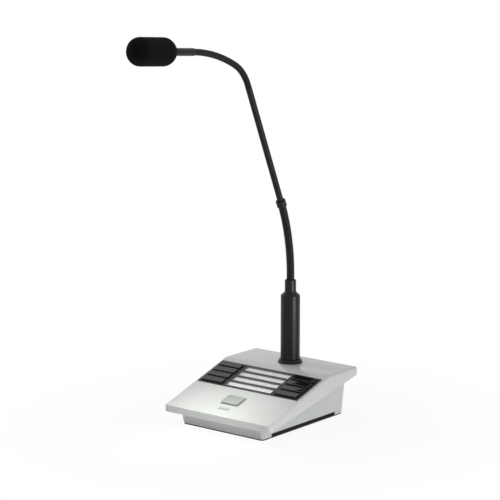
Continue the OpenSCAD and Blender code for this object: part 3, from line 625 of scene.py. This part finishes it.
def make_upper_section():
    """The upper flexible section, from the rigid tube to the microphone's rod, in two lengths."""
    third, fourth = joint_place("upper_bend"), joint_place("microphone_turn")
    tube_lean, fourth_lean = 2 * joint_lean("neck_side_lean"), joint_lean("microphone_turn")
    radius = half_width("neck_tube")
    tight_bend = bend_radius(third, fourth, tube_lean, fourth_lean)
    tight_len = tight_bend * (fourth_lean - tube_lean)
    wide_len = WIDE_BEND_R * (HEAD_LEAN - fourth_lean)
    path = [(third - IN_TUBE * heading(tube_lean), tube_lean, IN_TUBE, None),
            (third, tube_lean, tight_len, tight_bend), (fourth, fourth_lean, wide_len, WIDE_BEND_R)]
    middle = IN_TUBE + tight_len / 2
    end = IN_TUBE + tight_len + wide_len
    bend_piece("upper_winding_1", path, (0, middle), (0, middle - STIFF_MEETING), radius,
               UPPER_PITCH, ("upper_flex_mid",))
    bend_piece("upper_winding_2", path, (middle, end), (middle + STIFF_MEETING, middle + HEAD_ZONE), radius,
               UPPER_PITCH, ("upper_flex_top",))


# Windscreen

def foam_outline(radius, hole_r):
    """The windscreen's outer outline as points of (radius, distance along the axis)."""
    start = math.asin(hole_r / radius)
    rear = [start + (math.pi / 2 - start) * i / OUTLINE_STEPS for i in range(OUTLINE_STEPS + 1)]
    points = [Vector((radius * math.sin(a), radius - radius * math.cos(a))) for a in rear]
    for i in range(OUTLINE_STEPS + 1):
        angle = math.pi / 2 * i / OUTLINE_STEPS
        across = radius * math.cos(angle) ** (2 / NOSE_POWER)
        along = FOAM_LENGTH - NOSE_LENGTH * (1 - math.sin(angle) ** (2 / NOSE_POWER))
        points.append(Vector((across, along)))
    return spaced(points, FOAM_STEP)


def pitted(point, outward):
    """A point of the foam's skin, drawn in by its pores and by a slow waviness."""
    nearest = noise.voronoi(point / PORE_SIZE)[0][0]
    pore = max(0, 1 - nearest / PORE_REACH) ** PORE_POWER
    wave = 0.5 + 0.5 * noise.noise(point / FOAM_WAVE_SIZE)
    return point - outward * (PORE_DEPTH * pore + FOAM_WAVE * wave)


def foam_start(axis):
    """The middle of the windscreen's rear end, on the axis of the microphone's rod."""
    low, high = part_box("windscreen")
    start = joint_place("microphone_turn")
    start += WIDE_BEND_R * (side(HEAD_LEAN) - side(joint_lean("microphone_turn")))
    start += axis * ((low + high) / 2 - start).dot(axis) - axis * FOAM_LENGTH / 2
    return start


def make_windscreen():
    """The foam over the capsule, with the bore that the rod and the capsule housing sit in."""
    radius = half_width("windscreen")
    hole_r = half_width("microphone_rod") + FOAM_GAP
    bore_r = half_width("capsule_housing") + FOAM_GAP
    axis, up = heading(HEAD_LEAN), side(HEAD_LEAN)
    origin = foam_start(axis)

    bore_end = CAPSULE_START + CAPSULE_LENGTH + FOAM_GAP
    bore_start = CAPSULE_START - FOAM_GAP
    bore = [(BORE_END_SHARE * bore_r, bore_end), (bore_r, bore_end),
            (bore_r, bore_start), (hole_r, bore_start)]
    loops = [ring(origin + axis * along, X_AXIS, up, reach, FOAM_SIDES) for reach, along in bore]
    for reach, along in foam_outline(radius, hole_r):
        loop = ring(origin + axis * along, X_AXIS, up, max(reach, NOSE_TIP_R), FOAM_SIDES)
        core = origin + axis * min(max(along, radius), FOAM_LENGTH - NOSE_LENGTH)
        loops.append([pitted(point, (point - core).normalized()) for point in loop])
    piece = skin("foam_windscreen", [loops], FINISHES["foam_black"], sharp_angle=80)
    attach(piece, "microphone")
    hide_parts("windscreen")


# Keys

def panel_points(name):
    """A node's points as (across, along the panel's slope, out of the panel)."""
    points = [vertex.co for vertex in nodes[name].data.vertices]
    return [Vector((p.x, p.dot(PANEL_BACK), p.dot(PANEL_UP))) for p in points]


def span_of(points, axis):
    """The least and greatest value of points along an axis."""
    values = [p[axis] for p in points]
    return min(values), max(values)


def key_sizes(node):
    """What a key measures in the panel's frame: its face, its retaining flange and its heights."""
    points = panel_points(node)
    bottom, top = span_of(points, 2)
    face = [p for p in points if p.z > top - FACE_LAYER]
    x_low, x_high = span_of(face, 0)
    y_low, y_high = span_of(face, 1)
    middle = Vector(((x_low + x_high) / 2, (y_low + y_high) / 2))
    widest = span_of(points, 0)[1]
    flange = [p for p in points if p.x > widest - FACE_LAYER]
    flange_low, flange_high = span_of(flange, 2)
    return SimpleNamespace(
        middle=middle, half_w=(x_high - x_low) / 2, half_d=(y_high - y_low) / 2, bottom=bottom, top=top,
        flange_w=widest - middle.x, flange_d=span_of(flange, 1)[1] - middle.y,
        flange_low=flange_low, flange_high=flange_high)


def rounded_loop(half_w, half_d, radius):
    """A rectangle with round corners as a loop of (across, along)."""
    loop = []
    for quarter, (sx, sy) in enumerate([(1, 1), (-1, 1), (-1, -1), (1, -1)]):
        for i in range(CORNER_STEPS + 1):
            angle = math.pi / 2 * (quarter + i / CORNER_STEPS)
            loop.append((sx * (half_w - radius) + radius * math.cos(angle),
                         sy * (half_d - radius) + radius * math.sin(angle)))
    return loop


def key_loop(key, half_w, half_d, radius, height, sink=0):
    """A rounded loop of a key at a height, sunk towards the middle of the key's depth."""
    loop = []
    for x, y in rounded_loop(half_w, half_d, radius):
        depth = sink * (1 - (y / key.half_d) ** 2) * (1 - DISH_FADE * (x / key.half_w) ** 2)
        across, along = key.middle.x + x, key.middle.y + y
        loop.append(X_AXIS * across + PANEL_BACK * along + PANEL_UP * (height - depth))
    return loop


def cap_loops(key, corner_r, fillet, dish):
    """A key's loops from under its flange up its sides, over its round edge and into its dish."""
    loops = [key_loop(key, key.flange_w, key.flange_d, corner_r, key.flange_low),
             key_loop(key, key.flange_w, key.flange_d, corner_r, key.flange_high),
             key_loop(key, key.half_w, key.half_d, corner_r, key.flange_high)]
    for i in range(FILLET_STEPS + 1):
        angle = math.pi / 2 * i / FILLET_STEPS
        inset = fillet * (1 - math.cos(angle))
        height = key.top - fillet * (1 - math.sin(angle))
        loops.append(key_loop(key, key.half_w - inset, key.half_d - inset, corner_r - inset / 2, height))
    for i in range(1, DISH_STEPS + 1):
        inset = fillet + (key.half_d - fillet) * DISH_REACH * i / DISH_STEPS
        half_w, half_d = key.half_w - inset, key.half_d - inset
        sink = dish * min(1, 2 * i / DISH_STEPS)
        loops.append(key_loop(key, half_w, half_d, min(corner_r - fillet / 2, half_d), key.top, sink))
    return loops


def plunger_loops(key):
    """The round plunger between a key's foot and its flange."""
    foot = X_AXIS * key.middle.x + PANEL_BACK * key.middle.y
    return [ring(foot + PANEL_UP * height, X_AXIS, PANEL_BACK, PLUNGER_R, PLUNGER_SIDES)
            for height in (key.bottom, key.flange_low)]


def key_cap(name, corner_r, fillet, dish, slot):
    """A key with a dished, round-edged cap, its retaining flange and its plunger, in its node's place."""
    key = key_sizes(name)
    parts = [cap_loops(key, corner_r, fillet, dish), plunger_loops(key)]
    piece = skin(name + "_cap", parts, FINISHES[slot])
    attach(piece, name)
    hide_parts(name)


def make_keys():
    """The eight zone keys and the talk key."""
    for name in [node for node in nodes if node.startswith("zone_key_")]:
        key_cap(name, ZONE_CORNER_R, ZONE_FILLET, ZONE_DISH, "key_black")
    key_cap("talk_key", TALK_CORNER_R, TALK_FILLET, TALK_DISH, "key_pale")


# Network socket

def make_contacts():
    """The eight sprung contacts in the socket's cavity, rising from its floor as they run in."""
    low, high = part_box("network_socket")
    middle_x = (low.x + high.x) / 2
    floor = (low.z + high.z) / 2 - CAVITY_HEIGHT / 2
    parts = []
    for i in range(CONTACTS):
        x = middle_x + (i - (CONTACTS - 1) / 2) * CONTACT_PITCH
        wire = [Vector((x, high.y - way_in * MM, floor + rise * MM)) for way_in, rise in CONTACT_ROUTE]
        parts.append([ring(point, X_AXIS, CONTACT_UP, CONTACT_R, CONTACT_SIDES) for point in wire])
    piece = skin("socket_contacts", parts, CONTACT_GOLD)
    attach(piece, "base")


# Stage, light and camera

def seen_rays(tree):
    """One for rays from the camera, a glossy surface or through a clear one, and zero for the rest."""
    path = tree.nodes.new("ShaderNodeLightPath")
    total = path.outputs["Is Camera Ray"]
    for name in ("Is Glossy Ray", "Is Transmission Ray"):
        total = operate(tree, "ShaderNodeMath", "MAXIMUM", total, path.outputs[name])
    return total


def make_floor():
    """A pale floor that looks white to the camera away from the object, and keeps the shadow near it."""
    mesh = bpy.data.meshes.new("floor")
    corners = [(x * FLOOR_REACH, y * FLOOR_REACH, 0) for x, y in ((-1, -1), (1, -1), (1, 1), (-1, 1))]
    mesh.from_pydata(corners, [], [(0, 1, 2, 3)])
    linked("floor", mesh)
    finish = Finish("floor_white", Roughness=0.9, Base_Color=FLOOR_COLOUR, Specular_IOR_Level=0.1)
    away = operate(finish.tree, "ShaderNodeVectorMath", "LENGTH", finish.place)
    share = finish.span(away, FADE_SPAN, WHITE_SHARES)
    seen = operate(finish.tree, "ShaderNodeMath", "MULTIPLY", share, seen_rays(finish.tree))
    white = finish.node("ShaderNodeEmission").outputs["Emission"]
    mix_shaders(finish.tree, "Material Output", seen, finish.shader.outputs["BSDF"], white)
    mesh.materials.append(finish.made)


def make_world():
    """An even pale room: white where it is seen, and dimmer as light on matt surfaces."""
    world = bpy.data.worlds.new("room")
    bpy.context.scene.world = world
    world.use_nodes = True
    tree = world.node_tree
    dim = tree.nodes["Background"]
    dim.inputs["Color"].default_value = WHITE
    dim.inputs["Strength"].default_value = AMBIENT
    white = tree.nodes.new("ShaderNodeBackground")
    white.inputs["Color"].default_value = WHITE
    mix_shaders(tree, "World Output", seen_rays(tree),
                dim.outputs["Background"], white.outputs["Background"])


def softbox(name, place, aim, size, level, spread=180, in_gloss=True):
    """A rectangular lamp; its level is how bright, at full spread, a white surface is at its aim."""
    lamp = bpy.data.lights.new(name, "AREA")
    lamp.shape = "RECTANGLE"
    lamp.size, lamp.size_y = (side_length * MM for side_length in size)
    lamp.spread = math.radians(spread)
    away = (Vector(place) - Vector(aim)) * MM
    lamp.energy = level * math.pi ** 2 * away.length_squared
    made = linked(name, lamp)
    made.location = Vector(place) * MM
    made.rotation_mode = "QUATERNION"
    made.rotation_quaternion = away.to_track_quat("Z", "Y")
    made.visible_camera = False
    made.visible_glossy = in_gloss


def direction(azimuth, elevation):
    """The direction of an azimuth, counted from the front towards the right, and an elevation."""
    a, e = math.radians(azimuth), math.radians(elevation)
    return Vector((math.sin(a) * math.cos(e), -math.cos(a) * math.cos(e), math.sin(e)))


def make_camera():
    """A camera at the photograph's viewing angle."""
    back = direction(CAMERA_AZIMUTH, CAMERA_ELEVATION)
    right = Vector((0, 0, 1)).cross(back).normalized()
    up = back.cross(right)
    data = bpy.data.cameras.new("camera")
    data.sensor_width = SENSOR
    data.lens = FOCAL_LENGTH
    camera = linked("camera", data)
    camera.location = CAMERA_PIVOT + CAMERA_DISTANCE * back
    aim = CAMERA_PIVOT + AIM_RIGHT * right + AIM_UP * up
    camera.rotation_mode = "QUATERNION"
    camera.rotation_quaternion = (aim - camera.location).to_track_quat("-Z", "Y")
    bpy.context.scene.camera = camera


make_camera()
make_floor()
make_world()
for lamp_name, lamp_values in LAMPS.items():
    softbox(lamp_name, **lamp_values)
dress_nodes()
make_lower_section()
make_upper_section()
make_windscreen()
make_keys()
make_contacts()

bpy.context.scene.view_settings.view_transform = "Standard"
